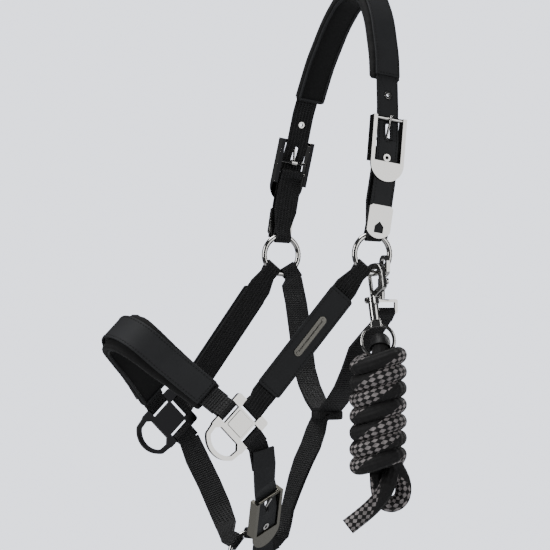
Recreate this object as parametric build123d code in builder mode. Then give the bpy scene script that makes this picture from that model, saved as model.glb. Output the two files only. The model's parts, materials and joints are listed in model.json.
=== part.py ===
from build123d import *
import math
import os

# A padded webbing headcollar, full size, held up at the poll, with its lead rope. Millimetres.
# +X is the horse's left (near) side, +Y runs from the nose to the poll and +Z is up.
# The origin is the poll rest: the underside of the crown pad, midway between the sides.
# Places are first given from the line through both cheek rings, which spot() turns into row places.

os.makedirs("parts", exist_ok=True)

# Straps
WEB = 24.0  # width of the webbing
PLY = 1.8  # one layer of it
GAP = 0.35  # play between webbing and the wire or bar it goes round
COVER_WIDTH = 28.0  # leather cover strips
COVER = 2.0
LEG_OVERLAP = 3.0  # how far a strap runs into the leg of its eye
PAD = 8.0

# Cheek rings
RING_X = 102.0
RING_MID = 19.4
RING_WIRE = 2.8
RING_EYE = 16.0  # webbing gathered to this width where it goes round a ring

# Crown
CROWN_LEAN = 9.1  # degrees back from upright
CROWN_FORWARD = 2.0  # how far its plane passes in front of the ring line
CROWN_PAD_WIDTH = 33.0
POLL_HEIGHT = 258.0
POLL_BACK = POLL_HEIGHT * math.tan(math.radians(CROWN_LEAN)) - CROWN_FORWARD
CROWN_RISE = POLL_HEIGHT / math.cos(math.radians(CROWN_LEAN))
WEB_RISE = CROWN_RISE + PAD + PLY / 2  # the webbing's middle over the poll

# Buckles: places up from the frame's centre, and out from the middle of its depth
BUCKLE_WIDTH = 37.0
BUCKLE_HEIGHT = 66.0
BUCKLE_RAIL = 4.0
BUCKLE_INNER = -5.0
BUCKLE_OUTER = 4.4
TOP_BAR_UP, TOP_BAR_OUT, TOP_BAR_RADIUS = 31.0, 1.2, 2.0
TONGUE_BAR_UP, TONGUE_BAR_OUT = 10.0, -2.9
STRAP_BAR_UP, STRAP_BAR_OUT = -1.0, -3.5
BAR_RADIUS = 1.5
PLATE_TOP_UP = -13.0
PLATE = 1.8
STRAP_OUT = 1.4  # middle of the strap where it lies over the bars and under the plate
STRAP_IN = -2.4  # and where it passes inside the top bar
TONGUE_TIP_UP, TONGUE_TIP_OUT = 34.0, 5.7
TONGUE_RADIUS = 1.2
BUCKLE_LEAN = 8.0
BUCKLE_X = 104.5
NEAR_BUCKLE_UP = 104.5
FAR_BUCKLE_UP = 87.1
TAIL_X = 110.2
TAIL_END_UP = 17.0

# Square fittings
FITTING_X, FITTING_Y, FITTING_Z = 82.0, -136.0, -166.0
FITTING_SIDE = 44.0
FITTING_THICK = 4.5
FITTING_BAR = 3.6
SLOT_LONG = 22.0
SLOT_WIDE = 6.2
BAR_MID = FITTING_SIDE / 2 - FITTING_BAR / 2
BAR_HOLE = 3.2
BAR_EYE = 21.0  # webbing gathered to this width in a fitting

# Noseband, in its own plane above the fittings
NOSE_RISE = 131.0
NOSE_PAD_WIDTH = 48.0
NOSE_PAD_ENDS = 30.0
NOSE_COVER_WIDTH = 30.0

# Chin
CHIN_Y, CHIN_Z = -85.3, -299.8
CHIN_MID = 21.4
CHIN_WIRE = 2.7
CHIN_EYE = 15.0
BILLET_WIDTH = 27.5
BILLET = 2.2

# Throat
THROAT_Y = 10.5
THROAT_SWEEP = -93.8
THROAT_DROP = 158.0

# Lead
ROPE_RADIUS = 8.2
FOLD = 12.0  # bend radius where the rope goes through the eye
EYE_MID, EYE_WIRE = 16.0, 1.9
HANK_ACROSS, HANK_DEEP = 30.0, 33.0
HANK_TOP, HANK_BOTTOM = -104.0, -219.0
LEAD_TURN = -26.0  # degrees that the eye and the hank stand turned about the vertical


def spot(x, y, z):
    """A place given from the middle of the ring line, in the row's frame."""
    return Vector(x, y - POLL_BACK, z - POLL_HEIGHT)


def unit(x, y, z):
    return Vector(x, y, z).normalized()


def radial(degrees):
    """A direction in a sagittal plane, turned from +Y towards +Z."""
    return Vector(0, math.cos(math.radians(degrees)), math.sin(math.radians(degrees)))


def cross_plane(y, z, rise):
    """A plane holding X and a sagittal direction, so that what is drawn in it spans both sides."""
    return Plane(origin=spot(0, y, z), x_dir=(1, 0, 0), z_dir=Vector(1, 0, 0).cross(radial(rise)))


def eye_plane(centre, degrees):
    """A plane whose x runs radially from centre, and whose y is the near side."""
    return Plane(origin=centre, x_dir=radial(degrees), z_dir=radial(degrees).cross(Vector(1, 0, 0)))


def beside(points, distance):
    """The corners of a route moved sideways by distance, to the right of its way along."""
    out = []
    for i, (x, y, bend) in enumerate(points):
        sides = []
        for a, b in ((i - 1, i), (i, i + 1)):
            if 0 <= a and b < len(points):
                way = Vector(points[b][0] - points[a][0], points[b][1] - points[a][1]).normalized()
                sides.append(Vector(way.Y, -way.X))
        mitre = sides[0] + sides[-1]
        mitre = mitre * (2 / mitre.length**2)
        out.append((x + mitre.X * distance, y + mitre.Y * distance))
    return out


def band(plane, points, distance, thick, width):
    """A flat strip beside a route of (x, y, bend radius) in a plane, distance to its right."""
    radii = []
    for i in range(1, len(points) - 1):
        before, here, after = (Vector(*points[k][:2]) for k in (i - 1, i, i + 1))
        left = (here - before).cross(after - here).Z > 0
        radii.append(points[i][2] + (distance if left else -distance))
    with BuildSketch(plane) as edge_on:
        with BuildLine():
            FilletPolyline(*beside(points, distance), radius=radii)
        trace(line_width=thick)
    extrude(edge_on.sketch, amount=width / 2, both=True)


def along(a, b, y):
    """The point of the run from a to b at height y."""
    share = (y - a[1]) / (b[1] - a[1])
    return (a[0] + (b[0] - a[0]) * share, y, 0)


def ribbon(stations, thick):
    """A strip through stations, each a (middle, width direction, width)."""
    sections = []
    for i, (middle, across, width) in enumerate(stations):
        before = stations[max(i - 1, 0)][0]
        after = stations[min(i + 1, len(stations) - 1)][0]
        way = (after - before).normalized()
        level = across - way * across.dot(way)
        with BuildSketch(Plane(origin=middle, x_dir=level, z_dir=way)) as section:
            Rectangle(width, thick)
        sections.append(section.sketch)
    loft(sections, ruled=True)


def ring_hole(mid, wire, width):
    """Where the slot through a webbing eye starts and ends, and its half width, round a curved wire."""
    half = wire + GAP
    start = math.sqrt((mid - wire) ** 2 - (width / 2) ** 2) - GAP + half
    return start, mid, half


def eye(plane, hole, width, swing, reach, ply=PLY):
    """Webbing folded round a wire or bar, with its leg leaving swing degrees towards the near side."""
    start, end, half = hole
    way = Vector(math.cos(math.radians(swing)), math.sin(math.radians(swing)))
    side = Vector(-way.Y, way.X)
    root = Vector(end, 0)
    tip = root + way * reach
    with BuildSketch(plane) as edge_on:
        with Locations((start, 0), (end, 0)):
            Circle(half + ply)
        with Locations(((start + end) / 2, 0)):
            Rectangle(max(end - start, 0.01), 2 * (half + ply))
        corners = [root + side * (half + ply), root - side * (half + ply), tip - side * ply, tip + side * ply]
        with BuildLine():
            Polyline(*[(c.X, c.Y) for c in corners], close=True)
        make_face()
    extrude(edge_on.sketch, amount=width / 2, both=True)


def eye_slot(plane, hole, width):
    """The way through a webbing eye."""
    start, end, half = hole
    with BuildSketch(plane) as edge_on:
        with Locations((start, 0), (end, 0)):
            Circle(half)
        with Locations(((start + end) / 2, 0)):
            Rectangle(max(end - start, 0.01), 2 * half)
    extrude(edge_on.sketch, amount=width, both=True, mode=Mode.SUBTRACT)


def leg_end(plane, hole, swing, reach):
    """Where a strap joins an eye's leg, a little inside its end."""
    r = reach - LEG_OVERLAP
    return plane.from_local_coords(
        (hole[1] + r * math.cos(math.radians(swing)), r * math.sin(math.radians(swing)), 0)
    )


def save(piece, name):
    """Labels and writes one sub-part."""
    piece.part.label = name
    export_step(piece.part, f"parts/{name}.step")


def save_far(piece, name):
    """Writes the far side's twin of a near piece."""
    with BuildPart() as twin:
        mirror(piece.part, about=Plane.YZ)
    save(twin, name)


# Crown: one length of webbing from the far strap tip, over the poll, to the near one
CROWN = cross_plane(-CROWN_FORWARD, 0, 90 - CROWN_LEAN)
ARCH = [(24, WEB_RISE, 42), (52, 242, 110), (76, 200, 120), (94, 148, 60)]  # x, height, bend


def buckle_point(up_of_centre, out, up):
    """A place in a near crown buckle, in the crown's plane."""
    lean = math.radians(BUCKLE_LEAN)
    x = BUCKLE_X + out * math.cos(lean) - up * math.sin(lean)
    return (x, up_of_centre + out * math.sin(lean) + up * math.cos(lean), 20)


def crown_side(up_of_centre):
    """The webbing's route down one side, from over the poll to its end."""
    inside_bar = buckle_point(up_of_centre, STRAP_IN, TOP_BAR_UP)
    over_bars = buckle_point(up_of_centre, STRAP_OUT, TONGUE_BAR_UP - 1)
    under_plate = buckle_point(up_of_centre, STRAP_OUT, -BUCKLE_HEIGHT / 2)
    return ARCH + [inside_bar, over_bars, under_plate, (TAIL_X, TAIL_END_UP, 0)]


def both_sides(far, near):
    """A route from the far side, over the middle, to the near side."""
    return [(-x, y, bend) for x, y, bend in reversed(far)] + near


def crown_route(far_end, near_end):
    """The arch between a height on the far side and one on the near side."""
    far = ARCH[:3] + [along(ARCH[2], ARCH[3], far_end)]
    near = ARCH[:3] + [along(ARCH[2], ARCH[3], near_end)]
    return both_sides(far, near)


NEAR_SIDE = crown_side(NEAR_BUCKLE_UP)
FAR_SIDE = crown_side(FAR_BUCKLE_UP)
TONGUE_HOLE_UP = 18.0  # where the tongue comes through, up from the buckle's centre


def strap_place(side, up):
    """The middle of a side's webbing at a height, and the way it runs there, upwards."""
    for a, b in zip(side, side[1:]):
        if b[1] <= up <= a[1]:
            way = Vector(a[0] - b[0], a[1] - b[1]).normalized()
            return along(a, b, up), way


def strap_face(side, up, near):
    """A plane square to a side's webbing at a height, with y along the webbing and z outwards."""
    (x, y, _), way = strap_place(side, up)
    sign = 1 if near else -1
    origin = CROWN.from_local_coords((sign * x, y, 0))
    run = CROWN.x_dir * (sign * way.X) + CROWN.y_dir * way.Y
    out = CROWN.x_dir * (sign * way.Y) - CROWN.y_dir * way.X
    return Plane(origin=origin, x_dir=run.cross(out), z_dir=out)


NEAR_EYELETS = [NEAR_BUCKLE_UP + 55, NEAR_BUCKLE_UP - 8.4]
FAR_EYELETS = [FAR_BUCKLE_UP + 49, FAR_BUCKLE_UP - 8.4]
EYELET_FACES = [strap_face(NEAR_SIDE, up, True) for up in NEAR_EYELETS]
EYELET_FACES += [strap_face(FAR_SIDE, up, False) for up in FAR_EYELETS]
TONGUE_FACES = [
    strap_face(NEAR_SIDE, NEAR_BUCKLE_UP + TONGUE_HOLE_UP, True),
    strap_face(FAR_SIDE, FAR_BUCKLE_UP + TONGUE_HOLE_UP, False),
]


def make_crown():
    with BuildPart() as webbing:
        band(CROWN, both_sides(FAR_SIDE, NEAR_SIDE), 0, PLY, WEB)
        for face in EYELET_FACES:
            with BuildSketch(face):
                Circle(2.3)
            extrude(amount=4, both=True, mode=Mode.SUBTRACT)
        for face in TONGUE_FACES:
            with BuildSketch(face):
                SlotOverall(17, 4.8, rotation=90)
            extrude(amount=4, both=True, mode=Mode.SUBTRACT)
    save(webbing, "crown_webbing")

    with BuildPart() as pad:
        band(CROWN, crown_route(161, 177), PLY / 2 + PAD / 2, PAD, CROWN_PAD_WIDTH)
    save(pad, "crown_pad")

    with BuildPart() as cover:
        band(CROWN, crown_route(163, 179), -(PLY + COVER) / 2, COVER, COVER_WIDTH - 1)
    save(cover, "crown_cover")

    with BuildPart() as eyelets:
        for face in EYELET_FACES:
            with BuildSketch(face.offset(-PLY / 2 - 0.4)):
                Circle(2.2)
            extrude(amount=PLY + 0.8)
            with BuildSketch(face.offset(PLY / 2)):
                Circle(4)
            extrude(amount=0.6)
            with BuildSketch(face.offset(-PLY / 2 - 0.4)):
                Circle(3.4)
            extrude(amount=0.4)
            with BuildSketch(face.offset(-5)):
                Circle(1.7)
            extrude(amount=10, mode=Mode.SUBTRACT)
    save(eyelets, "crown_eyelets")


def buckle_frame(place):
    """A buckle's frame: place is a plane at its centre, x across, y up and z out."""
    window_top = TOP_BAR_UP - TOP_BAR_RADIUS
    half = BUCKLE_WIDTH / 2
    low = -BUCKLE_HEIGHT / 2
    with BuildPart() as frame:
        with BuildSketch(place.offset(BUCKLE_OUTER - PLATE)):
            with BuildLine():
                Polyline((-half, low + half), (-half, PLATE_TOP_UP), (half, PLATE_TOP_UP), (half, low + half))
                ThreePointArc((half, low + half), (0, low), (-half, low + half))
            make_face()
        extrude(amount=PLATE)
        rail_high = TOP_BAR_UP + TOP_BAR_RADIUS - PLATE_TOP_UP
        for side in (-1, 1):
            with BuildSketch(place.offset(BUCKLE_INNER)):
                with Locations((side * (half - BUCKLE_RAIL / 2), PLATE_TOP_UP + rail_high / 2)):
                    Rectangle(BUCKLE_RAIL, rail_high)
            extrude(amount=BUCKLE_OUTER - BUCKLE_INNER)
        bars = ((TOP_BAR_UP, TOP_BAR_OUT, TOP_BAR_RADIUS),)
        bars += ((TONGUE_BAR_UP, TONGUE_BAR_OUT, BAR_RADIUS), (STRAP_BAR_UP, STRAP_BAR_OUT, BAR_RADIUS))
        for up, out, radius in bars:
            middle = place.from_local_coords((0, up, out))
            with BuildSketch(Plane(origin=middle, x_dir=place.y_dir, z_dir=place.x_dir)):
                Circle(radius)
            extrude(amount=half - 0.5, both=True)
    return frame


def buckle_tongue(place):
    """A buckle's tongue: an eye on the tongue bar, and a pin that rests on the top bar."""
    base = place.from_local_coords((0, TONGUE_BAR_UP, TONGUE_BAR_OUT))
    tip = place.from_local_coords((0, TONGUE_TIP_UP, TONGUE_TIP_OUT))
    with BuildPart() as tongue:
        with BuildSketch(Plane(origin=base, x_dir=place.y_dir, z_dir=place.x_dir)):
            Circle(BAR_RADIUS + 1.4)
        extrude(amount=3, both=True)
        with BuildSketch(Plane(origin=base, z_dir=tip - base)):
            Circle(TONGUE_RADIUS)
        extrude(amount=(tip - base).length)
        with BuildSketch(Plane(origin=base, x_dir=place.y_dir, z_dir=place.x_dir)):
            Circle(BAR_RADIUS + 0.06)
        extrude(amount=5, both=True, mode=Mode.SUBTRACT)
    return tongue


def crown_buckle_place(up_of_centre):
    """A near crown buckle's plane: x across the strap, y up it and z away from the head."""
    x, y, _ = buckle_point(up_of_centre, 0, 0)
    lean = math.radians(BUCKLE_LEAN)
    up = CROWN.x_dir * -math.sin(lean) + CROWN.y_dir * math.cos(lean)
    out = CROWN.x_dir * math.cos(lean) + CROWN.y_dir * math.sin(lean)
    return Plane(origin=CROWN.from_local_coords((x, y, 0)), x_dir=up.cross(out), z_dir=out)


def ring_strap(place):
    """The doubled webbing from a crown buckle down to the cheek ring, on the near side."""
    bar = place.from_local_coords((0, STRAP_BAR_UP, STRAP_BAR_OUT))
    buckle_end = Plane(origin=bar, x_dir=-place.y_dir, z_dir=-place.x_dir)
    bar_hole = (0, 0, BAR_RADIUS + GAP)
    ring_end = eye_plane(spot(RING_X, 0, 0), 87)
    hole = ring_hole(RING_MID, RING_WIRE, RING_EYE)
    top = leg_end(buckle_end, bar_hole, 0, 9)
    low = leg_end(ring_end, hole, 0, 11)
    across = -ring_end.z_dir
    middle = low + (top - low) * 0.35
    with BuildPart() as strap:
        eye(buckle_end, bar_hole, WEB, 0, 9)
        eye(ring_end, hole, RING_EYE, 0, 11)
        ribbon([(low, across, RING_EYE), (middle, across, WEB), (top, across, WEB)], 2 * PLY)
        eye_slot(buckle_end, bar_hole, WEB)
        eye_slot(ring_end, hole, RING_EYE)
    return strap


def strap_tip(side, near):
    """A metal tip on the end of the crown webbing, with an arrow-shaped window."""
    high, wide, thick = 33.0, 26.0, 4.2
    face = strap_face(side, TAIL_END_UP + 1, near)
    place = Plane(origin=face.origin - face.y_dir * 2.4, x_dir=face.x_dir, z_dir=face.z_dir)
    with BuildPart() as tip:
        with BuildSketch(place.offset(-thick / 2)):
            with BuildLine():
                Polyline((-wide / 2, 7), (-wide / 2, high - 2), (-wide / 2 + 3, high), (wide / 2 - 3, high),
                         (wide / 2, high - 2), (wide / 2, 7))
                ThreePointArc((wide / 2, 7), (0, 0), (-wide / 2, 7))
            make_face()
        extrude(amount=thick)
        with BuildSketch(Plane(origin=face.origin - face.y_dir * 1.2, x_dir=face.x_dir, z_dir=face.y_dir)):
            Rectangle(WEB + 0.2, PLY + 0.3)
        extrude(amount=high, mode=Mode.SUBTRACT)
        with BuildSketch(place.offset(PLY / 2)):
            with BuildLine():
                Polyline((-5, 5.5), (5, 5.5), (5, 12), (0, 17), (-5, 12), close=True)
            make_face()
        extrude(amount=thick, mode=Mode.SUBTRACT)
    return tip


def make_crown_ends():
    near = crown_buckle_place(NEAR_BUCKLE_UP)
    far = crown_buckle_place(FAR_BUCKLE_UP)
    save(buckle_frame(near), "near_buckle_frame")
    save_far(buckle_frame(far), "far_buckle_frame")
    save(buckle_tongue(near), "near_buckle_tongue")
    save_far(buckle_tongue(far), "far_buckle_tongue")
    save(ring_strap(near), "near_ring_strap")
    save_far(ring_strap(far), "far_ring_strap")
    save(strap_tip(NEAR_SIDE, True), "near_strap_tip")
    save(strap_tip(FAR_SIDE, False), "far_strap_tip")
    with BuildPart(Plane(origin=spot(RING_X, 0, 0), z_dir=(1, 0, 0))) as ring:
        Torus(RING_MID, RING_WIRE)
    save(ring, "near_cheek_ring")
    save_far(ring, "far_cheek_ring")


# Square fittings
FITTING = spot(FITTING_X, FITTING_Y, FITTING_Z)
CHEEK_SIDE, NOSE_SIDE, CHIN_SIDE, FRONT_SIDE = 45, 135, -45, 225


def bar_plane(degrees):
    """The middle of a near fitting's bar, with x pointing away from the fitting."""
    return eye_plane(FITTING + radial(degrees) * BAR_MID, degrees)


def make_fittings():
    place = Plane(origin=FITTING, x_dir=radial(CHEEK_SIDE), z_dir=(1, 0, 0))
    slot_mid = FITTING_SIDE / 2 - FITTING_BAR - SLOT_WIDE / 2
    d_start = -FITTING_SIDE / 2 + 4
    with BuildPart() as fitting:
        with BuildSketch(place.offset(-FITTING_THICK / 2)):
            RectangleRounded(FITTING_SIDE, FITTING_SIDE, 3)
            with BuildLine():
                Polyline((d_start, 21.5), (-31, 19.5))
                ThreePointArc((-31, 19.5), (-41, 0), (-31, -19.5))
                Polyline((-31, -19.5), (d_start, -21.5), (d_start, 21.5))
            make_face()
            with Locations((slot_mid, 0)):
                Rectangle(SLOT_WIDE, SLOT_LONG, mode=Mode.SUBTRACT)
            with Locations((0, slot_mid), (0, -slot_mid)):
                Rectangle(SLOT_LONG, SLOT_WIDE, mode=Mode.SUBTRACT)
            with BuildLine():
                Polyline((-16, 12), (-21, 16.5), (-29, 15.5))
                ThreePointArc((-29, 15.5), (-36.5, 0), (-29, -15.5))
                Polyline((-29, -15.5), (-21, -16.5), (-16, -12), (-16, 12))
            make_face(mode=Mode.SUBTRACT)
        extrude(amount=FITTING_THICK)
        with BuildSketch(place.offset(FITTING_THICK / 2)):
            RectangleRounded(20, 20, 1.5)
        extrude(amount=0.8, taper=30)
    save(fitting, "near_square_fitting")
    save_far(fitting, "far_square_fitting")


# Cheek straps
CHEEK_START = spot(RING_X, 0, 0)
CHEEK_END = FITTING + radial(CHEEK_SIDE) * BAR_MID
CHEEK_WAY = (CHEEK_END - CHEEK_START).normalized()
CHEEK_LONG = (CHEEK_END - CHEEK_START).length
CHEEK_OUT = (Vector(1, 0, 0) - CHEEK_WAY * CHEEK_WAY.X).normalized()
CHEEK_FACE = Plane(origin=CHEEK_START, x_dir=CHEEK_WAY, z_dir=CHEEK_OUT)
CHEEK_COVER = (50.0, 172.0)
PLATE_AT = 104.0
PLATE_LONG, PLATE_WIDE, PLATE_THICK = 48.0, 8.5, 0.8
RIVET_SPREAD = 41.0


def make_cheeks():
    angle = math.degrees(math.atan2(CHEEK_WAY.Z, CHEEK_WAY.Y))
    swing = math.degrees(math.asin(CHEEK_WAY.X))
    ring_end = eye_plane(CHEEK_START, angle)
    hole = ring_hole(RING_MID, RING_WIRE, RING_EYE)
    bar_end = bar_plane(CHEEK_SIDE)
    bar_hole = (0, 0, BAR_HOLE)
    across = CHEEK_FACE.y_dir
    stations = [
        (leg_end(ring_end, hole, swing, 9), across, RING_EYE),
        (CHEEK_START + CHEEK_WAY * 42, across, WEB),
        (CHEEK_START + CHEEK_WAY * (CHEEK_LONG - 16), across, WEB),
        (leg_end(bar_end, bar_hole, -swing, 12), -bar_end.z_dir, BAR_EYE),
    ]
    with BuildPart() as webbing:
        eye(ring_end, hole, RING_EYE, swing, 9)
        eye(bar_end, bar_hole, BAR_EYE, -swing, 12)
        ribbon(stations, 2 * PLY)
        eye_slot(ring_end, hole, RING_EYE)
        eye_slot(bar_end, bar_hole, WEB)
    save(webbing, "near_cheek_webbing")
    save_far(webbing, "far_cheek_webbing")

    middle = (CHEEK_COVER[0] + CHEEK_COVER[1]) / 2
    face = CHEEK_FACE.offset(PLY)
    rivets = [(PLATE_AT - RIVET_SPREAD / 2, 0), (PLATE_AT + RIVET_SPREAD / 2, 0)]

    def cover(riveted):
        with BuildPart() as strip:
            with BuildSketch(face):
                with Locations((middle, 0)):
                    RectangleRounded(CHEEK_COVER[1] - CHEEK_COVER[0], COVER_WIDTH, 3)
                if riveted:
                    with Locations(*rivets):
                        Circle(1.05, mode=Mode.SUBTRACT)
            extrude(amount=COVER)
        return strip

    save(cover(True), "near_cheek_cover")
    save_far(cover(False), "far_cheek_cover")

    with BuildPart() as plate:
        with BuildSketch(face.offset(COVER)):
            with Locations((PLATE_AT, 0)):
                SlotOverall(PLATE_LONG, PLATE_WIDE)
            with Locations(*rivets):
                Circle(1.05, mode=Mode.SUBTRACT)
        extrude(amount=PLATE_THICK)
    save(plate, "name_plate")

    with BuildPart() as pins:
        with BuildSketch(face):
            with Locations(*rivets):
                Circle(1.0)
        extrude(amount=COVER + PLATE_THICK)
        with BuildSketch(face.offset(COVER + PLATE_THICK)):
            with Locations(*rivets):
                Circle(1.7)
        extrude(amount=0.6, taper=20)
    save(pins, "name_plate_rivets")


# Noseband
NOSE = cross_plane(FITTING_Y, FITTING_Z, NOSE_SIDE)
NOSE_HALF = [(26, NOSE_RISE, 38), (44, 88, 60), (73, 36, 40)]  # x, height, bend
NOSE_LEG = 9.0


def make_noseband():
    root = (FITTING_X, BAR_MID)
    swing = -math.degrees(math.atan2(root[0] - NOSE_HALF[-1][0], NOSE_HALF[-1][1] - root[1]))
    half = NOSE_HALF + [along(NOSE_HALF[-1], root, BAR_MID + 6)]
    route = both_sides(half, half)
    near_bar = bar_plane(NOSE_SIDE)
    bar_hole = (0, 0, BAR_HOLE)
    with BuildPart() as webbing:
        band(NOSE, route, 0, 2 * PLY, WEB)
        eye(near_bar, bar_hole, BAR_EYE, swing, 10)
        eye_slot(near_bar, bar_hole, WEB)
        split(bisect_by=Plane.YZ, keep=Keep.TOP)
        mirror(about=Plane.YZ)
    save(webbing, "noseband_webbing")

    pad_half = NOSE_HALF[:2] + [along(NOSE_HALF[1], NOSE_HALF[2], 38)]
    pad_route = both_sides(pad_half, pad_half)
    with BuildPart() as pad:
        band(NOSE, pad_route, PLY + PAD / 2, PAD, NOSE_PAD_WIDTH)
        with BuildSketch(Plane(origin=NOSE.origin, x_dir=(1, 0, 0), z_dir=NOSE.y_dir)):
            with BuildLine():
                far_end, near_end = -90, 90
                Polyline((far_end, NOSE_PAD_ENDS / 2), (-45, 19), (-20, 23), (20, 23), (45, 19),
                         (near_end, NOSE_PAD_ENDS / 2), (near_end, -NOSE_PAD_ENDS / 2), (45, -19),
                         (20, -23), (-20, -23), (-45, -19), (far_end, -NOSE_PAD_ENDS / 2), close=True)
            make_face()
        extrude(amount=160, mode=Mode.INTERSECT)
    save(pad, "noseband_pad")

    cover_half = NOSE_HALF[:2] + [along(NOSE_HALF[1], NOSE_HALF[2], 41)]
    cover_route = both_sides(cover_half, cover_half)
    with BuildPart() as cover:
        band(NOSE, cover_route, -PLY - COVER / 2, COVER, NOSE_COVER_WIDTH)
    save(cover, "noseband_cover")


# Chin: a fixed strap on the far side, and a buckled one on the near side
CHIN = spot(0, CHIN_Y, CHIN_Z)
CHIN_FAR, CHIN_NEAR, CHIN_BACK = 140, 82, 22
CHIN_BUCKLE = spot(40, -88, -263)
CHIN_DOWN = unit(-0.62, 0.21, -0.755)
CHIN_ACROSS = unit(-0.20, 0.87, 0.45)
CHIN_ACROSS = (CHIN_ACROSS - CHIN_DOWN * CHIN_ACROSS.dot(CHIN_DOWN)).normalized()
CHIN_OUT = CHIN_DOWN.cross(CHIN_ACROSS)
CHIN_PLACE = Plane(origin=CHIN_BUCKLE, x_dir=CHIN_ACROSS, z_dir=CHIN_OUT)
SLOT_ACROSS = radial(45)


def chin_spot(out, up):
    return CHIN_PLACE.from_local_coords((0, up, out))


def make_chin():
    bar_end = bar_plane(CHIN_SIDE)
    bar_hole = (0, 0, BAR_HOLE)
    hole = ring_hole(CHIN_MID, CHIN_WIRE, CHIN_EYE)

    far_end = eye_plane(CHIN, CHIN_FAR)
    swing = 62
    stations = [
        (leg_end(bar_end, bar_hole, -12, 12), SLOT_ACROSS, BAR_EYE),
        (spot(74, -109, -207), radial(38), WEB),
        (spot(64, -100, -232), radial(28), WEB),
        (spot(52, -95, -254), radial(24), WEB),
        (spot(36, -95, -271), radial(30), WEB - 2),
        (leg_end(far_end, hole, swing, 13), radial(CHIN_FAR - 90), CHIN_EYE),
    ]
    with BuildPart() as strap:
        eye(bar_end, bar_hole, BAR_EYE, -12, 12)
        eye(far_end, hole, CHIN_EYE, swing, 13)
        ribbon(stations, 2 * PLY)
        eye_slot(bar_end, bar_hole, WEB)
        eye_slot(far_end, hole, CHIN_EYE)
    save_far(strap, "far_chin_strap")

    loop_end = spot(75, -107, -209)
    with BuildPart() as loop:
        eye(bar_end, bar_hole, BAR_EYE, -6, 12)
        ribbon([(leg_end(bar_end, bar_hole, -6, 12), SLOT_ACROSS, BAR_EYE), (loop_end, SLOT_ACROSS, WEB)], 2 * PLY)
        eye_slot(bar_end, bar_hole, WEB)
    save(loop, "near_chin_loop")

    lay = Vector(PLY + BILLET / 2 + 1.3, 0, 0)
    over = leg_end(bar_end, bar_hole, -6, 19) + lay
    route = [
        (over, SLOT_ACROSS, BILLET_WIDTH - 3),
        (loop_end + lay, SLOT_ACROSS, BILLET_WIDTH),
        (spot(71, -103, -228), (SLOT_ACROSS + CHIN_ACROSS), BILLET_WIDTH),
        (chin_spot(STRAP_IN, TOP_BAR_UP + 4), CHIN_ACROSS, BILLET_WIDTH),
        (chin_spot(STRAP_IN, TOP_BAR_UP - 2), CHIN_ACROSS, BILLET_WIDTH),
        (chin_spot(STRAP_OUT, TONGUE_BAR_UP + 1), CHIN_ACROSS, BILLET_WIDTH),
        (chin_spot(STRAP_OUT - 0.3, -BUCKLE_HEIGHT / 2 - 2), CHIN_ACROSS, BILLET_WIDTH),
        (spot(12, -78, -298), radial(15), BILLET_WIDTH - 1),
        (spot(15, -76, -316), radial(5), BILLET_WIDTH - 3),
    ]
    in_use = chin_spot(-0.1, TONGUE_HOLE_UP)
    spare = chin_spot(STRAP_OUT, PLATE_TOP_UP + 5)
    with BuildPart() as billet:
        ribbon(route, BILLET)
        with BuildSketch(Plane(origin=in_use, x_dir=CHIN_PLACE.y_dir, z_dir=CHIN_OUT)):
            SlotOverall(15, 4.6)
        extrude(amount=6, both=True, mode=Mode.SUBTRACT)
        with BuildSketch(Plane(origin=spare, x_dir=CHIN_PLACE.y_dir, z_dir=CHIN_OUT)):
            Circle(2.3)
        extrude(amount=5, both=True, mode=Mode.SUBTRACT)
    save(billet, "chin_billet")

    with BuildPart() as eyelet:
        place = Plane(origin=spare, x_dir=CHIN_PLACE.y_dir, z_dir=CHIN_OUT)
        with BuildSketch(place.offset(-BILLET / 2 - 0.4)):
            Circle(2.2)
        extrude(amount=BILLET + 0.8)
        with BuildSketch(place.offset(BILLET / 2 + 0.05)):
            Circle(4)
        extrude(amount=0.6)
        with BuildSketch(place.offset(-5)):
            Circle(1.7)
        extrude(amount=10, mode=Mode.SUBTRACT)
    save(eyelet, "chin_eyelet")

    save(buckle_frame(CHIN_PLACE), "chin_buckle_frame")
    save(buckle_tongue(CHIN_PLACE), "chin_buckle_tongue")

    bar = chin_spot(STRAP_BAR_OUT, STRAP_BAR_UP)
    strap_bar_end = Plane(origin=bar, x_dir=-CHIN_PLACE.y_dir, z_dir=-CHIN_PLACE.x_dir)
    thin_hole = (0, 0, BAR_RADIUS + GAP)
    near_end = eye_plane(CHIN, CHIN_NEAR)
    swing = 78
    stations = [
        (leg_end(strap_bar_end, thin_hole, 0, 8), CHIN_ACROSS, WEB - 2),
        (leg_end(near_end, hole, swing, 13), near_end.z_dir, CHIN_EYE),
    ]
    with BuildPart() as link:
        eye(strap_bar_end, thin_hole, WEB - 2, 0, 8)
        eye(near_end, hole, CHIN_EYE, swing, 13)
        ribbon(stations, 2 * PLY)
        eye_slot(strap_bar_end, thin_hole, WEB)
        eye_slot(near_end, hole, CHIN_EYE)
    save(link, "chin_buckle_strap")

    with BuildPart(Plane(origin=CHIN, z_dir=(1, 0, 0))) as ring:
        Torus(CHIN_MID, CHIN_WIRE)
    save(ring, "chin_ring")


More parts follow.
